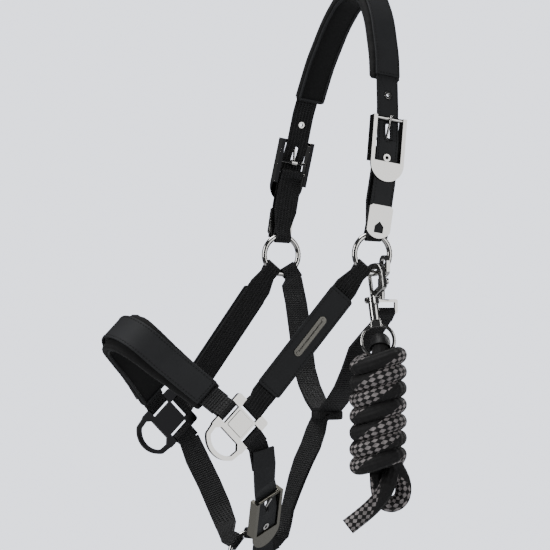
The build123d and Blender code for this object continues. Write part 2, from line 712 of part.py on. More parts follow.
# Throat strap, from the far cheek ring under the jaw to a snap on the near ring
THROAT = cross_plane(THROAT_Y, 0, THROAT_SWEEP)
THROAT_ACROSS = THROAT.z_dir
THROAT_HALF = [(92, 33), (82, 50), (68, 82), (54, 116), (40, 134), (24, 148), (8, THROAT_DROP)]
THROAT_SNAP_Y = 14.0
THROAT_SNAP = spot(RING_X, THROAT_SNAP_Y, -math.sqrt(RING_MID**2 - THROAT_SNAP_Y**2))
THROAT_SNAP_PLACE = Plane(origin=THROAT_SNAP, x_dir=(1, 0, 0), z_dir=(0, -1, 0))
THROAT_SIZES = {
    "bolt_in": 7.0, "arm_out": 6.2, "rise": 10.6, "drop": 11.0, "barrel": 20.0, "barrel_radius": 3.6,
    "bolt_radius": 1.6, "arm": 3.6, "thick": 3.6, "tip": 2.6, "knob_at": -13.5, "knob_out": 7.0,
}
THROAT_EYE = (19.0, 14.0, 3.0)  # wide, high, bar
THROAT_EYE_SET_BACK = 5.0
LEAD_SNAP_Y = 3.2
LEAD_SNAP = spot(RING_X, LEAD_SNAP_Y, -math.sqrt(RING_MID**2 - LEAD_SNAP_Y**2))
LEAD_FACE = 20.0  # degrees from +X that the hook opens towards
LEAD_TILT = 10.0
LEAD_SIZES = {
    "bolt_in": 7.5, "arm_out": 9.0, "rise": 7.1, "drop": 22.0, "barrel": 24.0, "barrel_radius": 5.0,
    "bolt_radius": 2.0, "arm": 5.8, "thick": 6.0, "tip": -0.5, "knob_at": -24.5, "knob_out": 8.5,
}
SNAP_FIT = 0.08
BOLT_TRAVEL = 7.0
SPRING_LONG = 8.5
SOCKET = 4.0
SNAP_FLOOR = 1.5


def turned(degrees):
    """A level direction, turned from +X towards +Y."""
    return Vector(math.cos(math.radians(degrees)), math.sin(math.radians(degrees)), 0)


def lead_place():
    """The lead snap's plane, hanging a little outwards."""
    out = turned(LEAD_FACE)
    tilt = math.radians(LEAD_TILT)
    side = out * math.cos(tilt) + Vector(0, 0, 1) * math.sin(tilt)
    return Plane(origin=LEAD_SNAP, x_dir=side, z_dir=out.cross(Vector(0, 0, 1)))


LEAD_PLACE = lead_place()


def rod(place, start, end, radius, mode=Mode.ADD):
    """A round rod between two places given in a plane's own coordinates."""
    a = place.from_local_coords(start)
    b = place.from_local_coords(end)
    with BuildSketch(Plane(origin=a, z_dir=b - a)) as section:
        Circle(radius)
    extrude(section.sketch, amount=(b - a).length, mode=mode)


def snap_levels(sizes):
    """Heights in a snap: the barrel's foot, the spring's foot and the bolt's foot."""
    foot = -sizes["drop"] - sizes["barrel"]
    spring_foot = foot + SOCKET + SNAP_FLOOR
    return foot, spring_foot, spring_foot + SPRING_LONG


def snap_body(place, sizes, knob):
    """A bolt snap's hook and barrel. The wire it holds runs through the plane's origin."""
    axis, arm = -sizes["bolt_in"], sizes["arm_out"]
    foot, spring_foot, bolt_foot = snap_levels(sizes)
    bore = sizes["bolt_radius"] + SNAP_FIT
    start = axis + sizes["barrel_radius"] - sizes["arm"] / 2 + 0.8
    turn = sizes["arm"] / 2 + 0.4
    bend = min(sizes["rise"] - sizes["tip"], (arm - axis) / 2) - 0.6
    with BuildPart() as body:
        with BuildSketch(place):
            with BuildLine():
                FilletPolyline((start, -sizes["drop"] - 8), (start, -sizes["drop"] + 1),
                               (arm, -sizes["drop"] + 1 + 0.5 * (arm - start)), (arm, sizes["rise"]),
                               (axis, sizes["rise"]), (axis, sizes["tip"]), radius=[turn, turn, bend, bend])
            trace(line_width=sizes["arm"])
        extrude(amount=sizes["thick"] / 2, both=True)
        rod(place, (axis, foot, 0), (axis, -sizes["drop"], 0), sizes["barrel_radius"])
        rod(place, (axis, spring_foot, 0), (axis, sizes["tip"] - 0.05, 0), bore, Mode.SUBTRACT)
        rod(place, (axis, foot - 1, 0), (axis, foot + SOCKET, 0), bore, Mode.SUBTRACT)
        middle = place.from_local_coords((axis, sizes["knob_at"] - BOLT_TRAVEL / 2, 0))
        way = place.x_dir * knob[0] + place.z_dir * knob[1]
        with BuildSketch(Plane(origin=middle, x_dir=place.y_dir, z_dir=way)):
            SlotOverall(BOLT_TRAVEL + 2 * sizes["bolt_radius"], 2 * sizes["bolt_radius"])
        extrude(amount=20, mode=Mode.SUBTRACT)
    return body


def snap_bolt(place, sizes, knob):
    """The sliding bolt with its thumb knob."""
    axis, level = -sizes["bolt_in"], sizes["knob_at"]
    foot, spring_foot, bolt_foot = snap_levels(sizes)
    with BuildPart() as bolt:
        rod(place, (axis, bolt_foot, 0), (axis, sizes["tip"] - 0.3, 0), sizes["bolt_radius"])
        stem = (axis + knob[0] * sizes["knob_out"], level, knob[1] * sizes["knob_out"])
        pad = (axis + knob[0] * (sizes["knob_out"] - 2), level, knob[1] * (sizes["knob_out"] - 2))
        rod(place, (axis, level, 0), stem, sizes["bolt_radius"] * 0.8)
        rod(place, pad, stem, 3.2)
    return bolt


def snap_spring(place, sizes):
    """The space that the bolt's coil spring fills, as a thin tube."""
    axis = -sizes["bolt_in"]
    foot, spring_foot, bolt_foot = snap_levels(sizes)
    with BuildPart() as spring:
        rod(place, (axis, spring_foot, 0), (axis, bolt_foot, 0), sizes["bolt_radius"])
        rod(place, (axis, spring_foot - 1, 0), (axis, bolt_foot + 1, 0), sizes["bolt_radius"] - 0.5, Mode.SUBTRACT)
    return spring


def make_throat():
    eye_wide, eye_high, eye_bar = THROAT_EYE
    foot = snap_levels(THROAT_SIZES)[0]
    axis = -THROAT_SIZES["bolt_in"]
    save(snap_body(THROAT_SNAP_PLACE, THROAT_SIZES, (0, -1)), "throat_snap_body")
    save(snap_bolt(THROAT_SNAP_PLACE, THROAT_SIZES, (0, -1)), "throat_snap_bolt")
    save(snap_spring(THROAT_SNAP_PLACE, THROAT_SIZES), "throat_snap_spring")

    top = THROAT_SNAP_PLACE.from_local_coords((axis, foot - 0.3, 0))
    middle = top + Vector(0, THROAT_EYE_SET_BACK, -eye_high / 2)
    face = Plane(origin=middle, x_dir=(0, 1, 0), z_dir=(1, 0, 0))
    with BuildPart() as frame:
        with BuildSketch(face):
            RectangleRounded(eye_wide + 2 * eye_bar, eye_high, 2)
            Rectangle(eye_wide, eye_high - 2 * eye_bar, mode=Mode.SUBTRACT)
        extrude(amount=eye_bar / 2, both=True)
        pin = THROAT_SIZES["bolt_radius"]
        rod(THROAT_SNAP_PLACE, (axis, foot - 1.3, 0), (axis, foot + SOCKET - 0.3, 0), pin)
    save(frame, "throat_snap_eye")

    bar_end = eye_plane(middle - Vector(0, 0, eye_high / 2 - eye_bar / 2), -90)
    bar_hole = (0, 0, 2.5)
    far_end = eye_plane(spot(-RING_X, 0, 0), 299)
    hole = ring_hole(RING_MID, RING_WIRE, RING_EYE)
    far = [(THROAT.from_local_coords((-x, y, 0)), THROAT_ACROSS, WEB) for x, y in THROAT_HALF]
    near = [(THROAT.from_local_coords((x, y, 0)), THROAT_ACROSS, WEB) for x, y in reversed(THROAT_HALF[3:])]
    near += [(THROAT.from_local_coords((66, 96, 0)), THROAT_ACROSS, WEB)]
    near += [(spot(80, 12, -78), THROAT_ACROSS, WEB - 3)]
    stations = [(leg_end(far_end, hole, 30, 11), -far_end.z_dir, RING_EYE)] + far + near
    stations += [(leg_end(bar_end, bar_hole, -30, 10), -bar_end.z_dir, 17)]
    with BuildPart() as strap:
        ribbon(stations, 2 * PLY)
        eye(far_end, hole, RING_EYE, 30, 11)
        eye(bar_end, bar_hole, 17, -30, 10)
        eye_slot(far_end, hole, RING_EYE)
        eye_slot(bar_end, bar_hole, 17)
    save(strap, "throat_strap")

    ring_end = eye_plane(CHIN, CHIN_BACK)
    chin_hole = ring_hole(CHIN_MID, CHIN_WIRE, CHIN_EYE)
    level = Vector(1, 0, 0)
    end_across = ring_end.z_dir
    route = [(10, -162.3), (-1, -162.3), (-7, -166), (-11, -177), (-17, -193), (-25, -208),
             (-32, -225), (-38, -242), (-43, -257)]
    twist = [0, 0, 0.2, 0.4, 0.45, 0.4, 0.25, 0.1, 0]
    stations = [(spot(0, y, z), level + Vector(0, t, -0.4 * t), WEB) for (y, z), t in zip(route, twist)]
    stations += [(spot(0, -48, -270), level * 2 + end_across, WEB - 2)]
    stations += [(spot(0, -51.5, -280), level + end_across * 2, WEB - 5)]
    stations += [(leg_end(ring_end, chin_hole, 0, 11), end_across, CHIN_EYE)]
    with BuildPart() as centre:
        ribbon(stations, 2 * PLY)
        eye(ring_end, chin_hole, CHIN_EYE, 0, 11)
        eye_slot(ring_end, chin_hole, CHIN_EYE)
    save(centre, "throat_centre_strap")


# Lead: a bolt snap on the near cheek ring, a swivelling eye, and the rope wound into a hank
EYE_LEVEL = turned(LEAD_TURN + 90)  # level, in the plane of the eye
EYE_FRONT = turned(LEAD_TURN)  # level, square to it
BLOCK_HIGH, BLOCK_WIDE, BLOCK_DEEP = 6.5, 11.0, 7.0


def eye_centre():
    foot = snap_levels(LEAD_SIZES)[0]
    return LEAD_PLACE.from_local_coords((-LEAD_SIZES["bolt_in"], foot - 4 - EYE_MID, 0))


ROPE_HANG = eye_centre() - LEAD_PLACE.y_dir * EYE_MID  # the lowest point of the eye's wire
ROPE = Plane(origin=ROPE_HANG, x_dir=EYE_LEVEL, z_dir=EYE_FRONT)
FOLD_UP = 1.6  # centre of the fold above the wire
HANK_FROM = HANK_TOP - POLL_HEIGHT - ROPE_HANG.Z
HANK_TO = HANK_BOTTOM - POLL_HEIGHT - ROPE_HANG.Z
LOOP_LEFT, LOOP_RIGHT, LOOP_LOW, LOOP_BACK = -1.5, 23.5, -16.0, -9.5
TAIL = [(7.5, 0), (7.5, -21), (-31, -49)]
TAIL_FRONT = 9.5


def make_lead():
    knob = (-1, 0)
    save(snap_body(LEAD_PLACE, LEAD_SIZES, knob), "lead_snap_body")
    save(snap_bolt(LEAD_PLACE, LEAD_SIZES, knob), "lead_snap_bolt")
    save(snap_spring(LEAD_PLACE, LEAD_SIZES), "lead_snap_spring")

    foot = snap_levels(LEAD_SIZES)[0]
    axis = -LEAD_SIZES["bolt_in"]
    up = LEAD_PLACE.y_dir
    side = (EYE_LEVEL - up * EYE_LEVEL.dot(up)).normalized()
    top = LEAD_PLACE.from_local_coords((axis, foot - 0.3, 0))
    with BuildPart() as swivel:
        with BuildSketch(Plane(origin=top - up * BLOCK_HIGH, x_dir=side, z_dir=up)):
            RectangleRounded(BLOCK_WIDE, BLOCK_DEEP, 1.5)
        extrude(amount=BLOCK_HIGH)
        rod(LEAD_PLACE, (axis, foot - 1, 0), (axis, foot + SOCKET - 0.3, 0), LEAD_SIZES["bolt_radius"])
        with BuildSketch(Plane(origin=eye_centre() + up * EYE_MID, x_dir=up, z_dir=side)) as wire:
            Circle(EYE_WIRE)
        revolve(wire.sketch, axis=Axis(eye_centre(), up.cross(side)), revolution_arc=360)
    save(swivel, "lead_swivel_eye")

    fold = Axis(ROPE.from_local_coords((0, FOLD_UP, 0)), EYE_LEVEL)
    level = Plane(origin=ROPE.from_local_coords((0, FOLD_UP, -FOLD)), z_dir=(0, 0, 1))
    with BuildPart() as rope_eye:
        with BuildSketch(level) as section:
            Circle(ROPE_RADIUS)
        revolve(section.sketch, axis=fold, revolution_arc=180)
        for front in (-FOLD, FOLD):
            rod(ROPE, (0, HANK_FROM, front), (0, FOLD_UP, front), ROPE_RADIUS)
    save(rope_eye, "lead_rope_eye")

    across = (Vector(0, 0, 1) * math.sin(math.radians(35)) - EYE_FRONT * math.cos(math.radians(35)))
    with BuildPart() as sleeve:
        with BuildSketch(Plane(origin=fold.position + across * FOLD, x_dir=across, z_dir=across.cross(EYE_LEVEL))) as section:
            Circle(ROPE_RADIUS + 1.9)
            Circle(ROPE_RADIUS + 0.05, mode=Mode.SUBTRACT)
        revolve(section.sketch, axis=fold, revolution_arc=110)
    save(sleeve, "lead_rope_sleeve")

    with BuildPart() as hank:
        with BuildSketch(Plane(origin=ROPE.from_local_coords((0, HANK_TO, 0)), x_dir=EYE_LEVEL, z_dir=(0, 0, 1))):
            Ellipse(HANK_ACROSS, HANK_DEEP)
        extrude(amount=HANK_FROM - HANK_TO)
        fillet(hank.edges(), 7)
    save(hank, "lead_rope_hank")

    low = HANK_TO + LOOP_LOW
    middle = (LOOP_LEFT + LOOP_RIGHT) / 2
    with BuildPart() as loop:
        for x in (LOOP_LEFT, LOOP_RIGHT):
            rod(ROPE, (x, HANK_TO, LOOP_BACK), (x, low, LOOP_BACK), ROPE_RADIUS)
        begin = ROPE.from_local_coords((LOOP_RIGHT, low, LOOP_BACK))
        with BuildSketch(Plane(origin=begin, z_dir=(0, 0, -1))) as section:
            Circle(ROPE_RADIUS)
        turn = Axis(ROPE.from_local_coords((middle, low, LOOP_BACK)), -EYE_FRONT)
        revolve(section.sketch, axis=turn, revolution_arc=180)
    save(loop, "lead_rope_loop")

    points = [ROPE.from_local_coords((x, HANK_TO + y, TAIL_FRONT)) for x, y in TAIL]
    with BuildPart() as tail:
        with BuildLine() as way:
            FilletPolyline(*points, radius=rope_bend(points, 1))
        with BuildSketch(Plane(origin=points[0], z_dir=points[1] - points[0])) as section:
            Circle(ROPE_RADIUS)
        sweep(section.sketch, path=way.line)
    save(tail, "lead_rope_tail")
    long = sum(edge.length for edge in way.edges())
    print("tail volume", tail.part.volume, "section times length", math.pi * ROPE_RADIUS**2 * long)


def rope_bend(points, i):
    """The largest neat bend at one corner of the rope's free end, printed as it is chosen."""
    before, here, after = (points[k] for k in (i - 1, i, i + 1))
    turn = math.radians((here - before).get_angle(after - here))
    bend = 0.45 * min((here - before).length, (after - here).length) / math.tan(turn / 2)
    print("rope bend", round(bend, 1))
    return bend


make_crown()
make_crown_ends()
make_fittings()
make_cheeks()
make_noseband()
make_chin()
make_throat()
make_lead()
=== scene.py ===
import bmesh
import bpy
import json
import math
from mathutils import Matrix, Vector, kdtree


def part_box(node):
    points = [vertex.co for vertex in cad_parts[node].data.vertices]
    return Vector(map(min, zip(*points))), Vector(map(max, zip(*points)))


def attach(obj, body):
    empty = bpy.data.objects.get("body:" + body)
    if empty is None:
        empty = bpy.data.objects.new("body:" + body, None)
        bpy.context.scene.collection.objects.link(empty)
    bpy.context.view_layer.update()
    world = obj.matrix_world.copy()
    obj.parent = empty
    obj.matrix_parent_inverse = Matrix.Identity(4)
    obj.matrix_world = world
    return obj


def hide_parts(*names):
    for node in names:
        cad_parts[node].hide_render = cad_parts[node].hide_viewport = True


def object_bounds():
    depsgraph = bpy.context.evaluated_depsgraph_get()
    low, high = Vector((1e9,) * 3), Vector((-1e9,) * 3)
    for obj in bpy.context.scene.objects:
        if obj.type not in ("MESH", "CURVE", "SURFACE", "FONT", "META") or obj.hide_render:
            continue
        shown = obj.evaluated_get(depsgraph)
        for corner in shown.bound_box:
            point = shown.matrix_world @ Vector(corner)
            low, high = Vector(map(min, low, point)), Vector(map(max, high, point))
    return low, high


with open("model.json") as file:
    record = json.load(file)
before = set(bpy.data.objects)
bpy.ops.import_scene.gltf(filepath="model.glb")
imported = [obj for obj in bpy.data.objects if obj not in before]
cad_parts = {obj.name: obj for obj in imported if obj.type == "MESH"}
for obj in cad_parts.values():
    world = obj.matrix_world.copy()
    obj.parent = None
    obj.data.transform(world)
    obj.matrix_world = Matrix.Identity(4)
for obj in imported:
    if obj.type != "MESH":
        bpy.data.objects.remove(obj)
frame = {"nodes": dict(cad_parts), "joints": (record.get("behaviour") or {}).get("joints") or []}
nodes = frame["nodes"]
cad_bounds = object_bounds()
joints = {j["name"]: j for j in frame["joints"]}

# ---------------------------------------------------------------- camera
ACROSS = Vector((0.438, 0.899, 0)).normalized()  # to the right in the main view
TOWARD = Vector((0.899, -0.438, 0)).normalized()  # towards the camera
VIEW_MIDDLE = ACROSS * -0.0866 + Vector((0, 0, -0.2787))
VIEW_WIDE = 0.55
CAMERA_AWAY = 4.0
SIDE_OUT = 0.06  # the near side's distance from the middle, along the view
SENSOR = 36  # mm
FLOOR_BELOW, FLOOR_HALF = 0.4, 1.2


def make_camera():
    data = bpy.data.cameras.new("camera")
    camera = bpy.data.objects.new("camera", data)
    bpy.context.scene.collection.objects.link(camera)
    data.sensor_width = SENSOR
    data.lens = SENSOR * CAMERA_AWAY / VIEW_WIDE
    data.clip_end = 50
    camera.location = VIEW_MIDDLE + TOWARD * (CAMERA_AWAY + SIDE_OUT)
    camera.rotation_euler = (-TOWARD).to_track_quat("-Z", "Y").to_euler()
    bpy.context.scene.camera = camera


def lamp(name, where, toward, size, power):
    """A rectangular lamp with its width and height in metres and its power in watts."""
    data = bpy.data.lights.new(name, "AREA")
    data.shape = "RECTANGLE"
    data.size, data.size_y = size
    data.energy = power
    thing = bpy.data.objects.new(name, data)
    bpy.context.scene.collection.objects.link(thing)
    thing.location = where
    thing.rotation_euler = (Vector(toward) - Vector(where)).to_track_quat("-Z", "Y").to_euler()


def make_world():
    """A dim surround for the light and the reflections, and a pale grey one behind the object."""
    world = bpy.data.worlds.new("studio")
    world.use_nodes = True
    dim = world.node_tree.nodes["Background"]
    dim.inputs["Color"].default_value = (0.5, 0.51, 0.53, 1)
    dim.inputs["Strength"].default_value = 0.09
    seen = world.node_tree.nodes.new("ShaderNodeBackground")
    seen.inputs["Color"].default_value = (0.875, 0.905, 1.0, 1)
    seen.inputs["Strength"].default_value = 2.16
    ray = world.node_tree.nodes.new("ShaderNodeLightPath")
    mix = world.node_tree.nodes.new("ShaderNodeMixShader")
    links = world.node_tree.links
    links.new(ray.outputs["Is Camera Ray"], mix.inputs[0])
    links.new(dim.outputs[0], mix.inputs[1])
    links.new(seen.outputs[0], mix.inputs[2])
    links.new(mix.outputs[0], world.node_tree.nodes["World Output"].inputs["Surface"])
    bpy.context.scene.world = world


def make_studio():
    middle = Vector((0, -0.1, -0.28))
    up = Vector((0, 0, 1))
    mirror_side = Vector((0.9, 0.44, 0))  # where faces square to the horse's side send the camera's view
    lamp("side", middle + mirror_side * 1.7 + up * 0.25, middle, (1.05, 1.4), 8.5)
    lamp("left", middle + TOWARD * 1.0 - ACROSS * 1.6 + up * 0.5, middle, (0.5, 1.6), 18)
    lamp("top", middle + up * 1.8 - ACROSS * 0.3, middle, (1.2, 0.8), 20)
    lamp("back", middle - TOWARD * 1.4 + ACROSS * 1.3 + up * 0.5, middle, (0.4, 1.4), 10)
    low = cad_bounds[0][2] - FLOOR_BELOW
    corners = [(x * FLOOR_HALF, y * FLOOR_HALF, low) for x, y in ((-1, -1), (1, -1), (1, 1), (-1, 1))]
    add("floor", corners, [(0, 1, 2, 3)], plain("floor", (0.72, 0.73, 0.75), 0.9), smooth=False)


# ---------------------------------------------------------------- materials
RIB_PITCH, WARP_PITCH = 0.0022, 0.0034  # webbing
PATCH_PITCH = 0.104  # along the rope, from one flecked stretch to the next


def shader(name):
    """A new material, its node tree and its surface shader."""
    material = bpy.data.materials.new(name)
    material.use_nodes = True
    tree = material.node_tree
    return material, tree, tree.nodes["Principled BSDF"]


def plain(name, color, rough, metal=0.0):
    """A material of one colour."""
    material, tree, surface = shader(name)
    surface.inputs["Base Color"].default_value = (*color, 1)
    surface.inputs["Roughness"].default_value = rough
    surface.inputs["Metallic"].default_value = metal
    return material


def math_node(tree, kind, a, b=None):
    """A Math node. a and b are numbers or sockets."""
    node = tree.nodes.new("ShaderNodeMath")
    node.operation = kind
    for i, value in enumerate((a, b)):
        if value is None:
            continue
        if isinstance(value, (int, float)):
            node.inputs[i].default_value = value
        else:
            tree.links.new(value, node.inputs[i])
    return node.outputs[0]


def noise(tree, scale, detail=2.0):
    """Cloudy noise, with scale in lumps to a metre."""
    place = tree.nodes.new("ShaderNodeTexCoord")
    node = tree.nodes.new("ShaderNodeTexNoise")
    node.inputs["Scale"].default_value = scale
    node.inputs["Detail"].default_value = detail
    tree.links.new(place.outputs["Object"], node.inputs["Vector"])
    return node.outputs[0]


def bump(tree, surface, height, distance, strength=1.0):
    """Raises the surface by a height pattern."""
    node = tree.nodes.new("ShaderNodeBump")
    node.inputs["Distance"].default_value = distance
    node.inputs["Strength"].default_value = strength
    tree.links.new(height, node.inputs["Height"])
    tree.links.new(node.outputs[0], surface.inputs["Normal"])


def ramp(tree, value, low, high, at=(0.0, 1.0)):
    """A colour between low and high, as value goes from at[0] to at[1]."""
    node = tree.nodes.new("ShaderNodeValToRGB")
    node.color_ramp.elements[0].position, node.color_ramp.elements[1].position = at
    node.color_ramp.elements[0].color = (*low, 1)
    node.color_ramp.elements[1].color = (*high, 1)
    tree.links.new(value, node.inputs[0])
    return node.outputs[0]


def along(tree, way, pitch):
    """A wave along a direction in the shared frame, with pitch in metres."""
    place = tree.nodes.new("ShaderNodeTexCoord")
    dot = tree.nodes.new("ShaderNodeVectorMath")
    dot.operation = "DOT_PRODUCT"
    dot.inputs[1].default_value = Vector(way).normalized() * (2 * math.pi / pitch)
    tree.links.new(place.outputs["Object"], dot.inputs[0])
    return math_node(tree, "SINE", dot.outputs["Value"])


def webbing(name, way, across, color=(0.0045, 0.0045, 0.005)):
    """Woven webbing: ribs across the strap, broken up by the warp along it. Its colour is lighter on the
    raised weave as a painted highlight, and noise adds random tone.
    """
    material, tree, surface = shader(name)
    ribs = along(tree, way, RIB_PITCH)
    warp = along(tree, across, WARP_PITCH)
    weave = math_node(tree, "MULTIPLY", ribs, warp)
    # Painted highlight: the raised weave is lighter, up to 5.5 times the base colour; the noise adds random
    # tone.
    weave_highlight_and_tone = math_node(tree, "ADD", math_node(tree, "MULTIPLY", weave, 0.3), noise(tree, 260))
    light = tuple(c * 5.5 for c in color)
    tree.links.new(ramp(tree, weave_highlight_and_tone, color, light, (0.35, 1.0)), surface.inputs["Base Color"])
    surface.inputs["Roughness"].default_value = 0.62
    surface.inputs["Sheen Weight"].default_value = 0.03
    bump(tree, surface, math_node(tree, "ADD", ribs, weave), 0.0004, 1.0)
    return material


def leather(name):
    """A smooth dark cover with a fine grain."""
    material, tree, surface = shader(name)
    grain = noise(tree, 900, 4)
    tree.links.new(ramp(tree, noise(tree, 45), (0.030, 0.031, 0.033), (0.041, 0.042, 0.045)),
                   surface.inputs["Base Color"])
    surface.inputs["Roughness"].default_value = 0.55
    surface.inputs["Specular IOR Level"].default_value = 0.22
    bump(tree, surface, grain, 0.0002, 0.35)
    return material


def lining(name):
    """The soft cloth side of a pad."""
    material, tree, surface = shader(name)
    tree.links.new(ramp(tree, noise(tree, 700, 3), (0.003, 0.003, 0.003), (0.008, 0.008, 0.009)),
                   surface.inputs["Base Color"])
    surface.inputs["Roughness"].default_value = 0.85
    surface.inputs["Sheen Weight"].default_value = 0.05
    bump(tree, surface, noise(tree, 1100, 2), 0.0003, 0.4)
    return material


def nickel(name, color=(0.66, 0.65, 0.63), rough=0.12):
    """Polished metal with slightly uneven polish."""
    material, tree, surface = shader(name)
    surface.inputs["Base Color"].default_value = (*color, 1)
    surface.inputs["Metallic"].default_value = 1.0
    tree.links.new(ramp(tree, noise(tree, 60), (rough * 0.8,) * 3, (rough * 1.3,) * 3),
                   surface.inputs["Roughness"])
    return material


def braid(name):
    """A braided rope's cover, from its UV: V along it in metres and U once round it."""
    material, tree, surface = shader(name)
    place = tree.nodes.new("ShaderNodeTexCoord")
    split = tree.nodes.new("ShaderNodeSeparateXYZ")
    tree.links.new(place.outputs["UV"], split.inputs[0])
    turn = math_node(tree, "MULTIPLY", split.outputs[0], 2 * math.pi * STRANDS)
    run = math_node(tree, "MULTIPLY", split.outputs[1], 2 * math.pi / LAY)
    one = math_node(tree, "SINE", math_node(tree, "ADD", turn, run))
    two = math_node(tree, "SINE", math_node(tree, "SUBTRACT", turn, run))
    cross = math_node(tree, "MULTIPLY", one, two)
    high = math_node(tree, "MULTIPLY", cross, -1.0)
    patch_turn = math_node(tree, "MULTIPLY", split.outputs[0], 2 * math.pi)
    patch_run = math_node(tree, "MULTIPLY", split.outputs[1], 2 * math.pi / PATCH_PITCH)
    patch = math_node(tree, "SINE", math_node(tree, "ADD", patch_turn, patch_run))
    fuzz = noise(tree, 1500, 3)
    fleck = math_node(tree, "MULTIPLY", math_node(tree, "GREATER_THAN", cross, 0.05),
                      math_node(tree, "GREATER_THAN", patch, -0.15))
    uneven = math_node(tree, "MULTIPLY", noise(tree, 210, 1), 0.9)
    mottle = math_node(tree, "ADD", math_node(tree, "MULTIPLY", fuzz, 0.5), uneven)
    spots = math_node(tree, "MULTIPLY", fleck, mottle)
    tree.links.new(ramp(tree, spots, (0.008, 0.0075, 0.008), (0.46, 0.42, 0.42), (0.12, 0.85)),
                   surface.inputs["Base Color"])
    surface.inputs["Roughness"].default_value = 0.75
    surface.inputs["Sheen Weight"].default_value = 0.05
    bump(tree, surface, math_node(tree, "ADD", high, math_node(tree, "MULTIPLY", fuzz, 0.5)), 0.0006, 0.8)
    return material


# ---------------------------------------------------------------- meshes
SAME_PLACE = 0.00002  # corners nearer than this are one
EDGE_ANGLE = 35  # degrees between faces that make an edge
STITCH_SIDES = 6
STITCH_PITCH, STITCH_LONG, STITCH_THICK = 0.0034, 0.0026, 0.0007
# Along a stitch: place, girth and rise, as shares of its length and thickness
STITCH_RINGS = [(-0.5, 0.25, -0.4), (-0.34, 0.8, 0.25), (0, 1, 0.55), (0.34, 0.8, 0.25), (0.5, 0.25, -0.4)]


def add(name, verts, faces, material, smooth=True):
    """A mesh object with one material."""
    mesh = bpy.data.meshes.new(name)
    mesh.from_pydata([tuple(v) for v in verts], [], faces)
    mesh.materials.append(material)
    if smooth:
        mesh.polygons.foreach_set("use_smooth", [True] * len(mesh.polygons))
    thing = bpy.data.objects.new(name, mesh)
    bpy.context.scene.collection.objects.link(thing)
    return thing


def weld(thing):
    """Joins a piece's double corners, so that its faces share them."""
    modifier = thing.modifiers.new("weld", "WELD")
    modifier.merge_threshold = SAME_PLACE


def round_over(thing, grain, rounds):
    """Rebuilds a piece from small cubes and smooths it."""
    remesh = thing.modifiers.new("remesh", "REMESH")
    remesh.mode = "VOXEL"
    remesh.voxel_size = grain
    remesh.use_smooth_shade = True
    ease = thing.modifiers.new("ease", "SMOOTH")
    ease.factor = 0.5
    ease.iterations = rounds


def dress(node, material, bevel=0.0, segments=3, cast=0.0):
    """Gives a CAD node its material. bevel softens its edges, and cast is the grain of a rounding over."""
    thing = nodes[node]
    thing.data.materials.clear()
    thing.data.materials.append(material)
    if (bevel or cast) and "custom_normal" in thing.data.attributes:
        thing.data.attributes.remove(thing.data.attributes["custom_normal"])
    if cast:
        weld(thing)
        round_over(thing, cast, 8)
    if bevel:
        weld(thing)
        soft = thing.modifiers.new("edges", "BEVEL")
        soft.width = bevel
        soft.segments = segments
        soft.limit_method = "ANGLE"
        soft.angle_limit = math.radians(EDGE_ANGLE)
        soft.harden_normals = True
        thing.data.polygons.foreach_set("use_smooth", [True] * len(thing.data.polygons))


def welded(node):
    """The CAD node's own faces as a bmesh with shared corners."""
    work = bmesh.new()
    work.from_mesh(nodes[node].data)
    bmesh.ops.remove_doubles(work, verts=work.verts, dist=SAME_PLACE)
    work.normal_update()
    work.faces.index_update()
    return work


def in_order(region):
    """A region's faces in the mesh's own order, so that each run gives the same result."""
    return sorted(region, key=lambda face: face.index)


def outer_face(work, inside, sign=1):
    """The faces of a strip's outer side: of its two largest smooth regions, the one away from inside.
    With sign -1, the one towards it."""

    def turned_out(region):
        return sum(f.normal.dot(f.calc_center_median() - inside) * f.calc_area() for f in in_order(region))

    left = set(work.faces)
    regions = []
    while left:
        region, queue = set(), [left.pop()]
        while queue:
            face = queue.pop()
            region.add(face)
            for edge in face.edges:
                for other in edge.link_faces:
                    if other in left and other.normal.dot(face.normal) > 0.85:
                        left.discard(other)
                        queue.append(other)
        regions.append(region)
    regions.sort(key=lambda r: -sum(f.calc_area() for f in in_order(r)))
    return max(regions[:2], key=lambda r: sign * turned_out(r))


def rim(region):
    """A region's border as loops of (point, way into the region, normal)."""
    border = {}
    for face in in_order(region):
        for edge in face.edges:
            if any(f not in region for f in edge.link_faces):
                inward = (face.normal.cross(edge.verts[1].co - edge.verts[0].co)).normalized()
                if inward.dot(face.calc_center_median() - edge.verts[0].co) < 0:
                    inward = -inward
                for vert in edge.verts:
                    border.setdefault(vert, []).append((edge, inward, face.normal.copy()))
    loops = []
    while border:
        start = min(border, key=lambda v: tuple(v.co))
        here, path, last = start, [], None
        while here in border:
            sides = border.pop(here)
            inward = sum((s[1] for s in sides), Vector())
            square = max(0.35, 0.5 * inward.length)  # less at a corner, where the way in is longer
            normal = sum((s[2] for s in sides), Vector()).normalized()
            path.append((here.co.copy(), inward.normalized() / square, normal))
            steps = [s[0].other_vert(here) for s in sides if s[0] is not last]
            steps = [vert for vert in steps if vert in border]
            if not steps:
                break
            last = next(s[0] for s in sides if s[0].other_vert(here) is steps[0])
            here = steps[0]
        if len(path) > 3:
            loops.append(path)
    return loops


def band_faces(rings, around, base=0):
    """Four-sided faces between rings of points, numbered from base."""
    faces = []
    for i in range(rings - 1):
        low, high = base + i * around, base + (i + 1) * around
        for k in range(around):
            m = (k + 1) % around
            faces.append((low + k, low + m, high + m, high + k))
    return faces


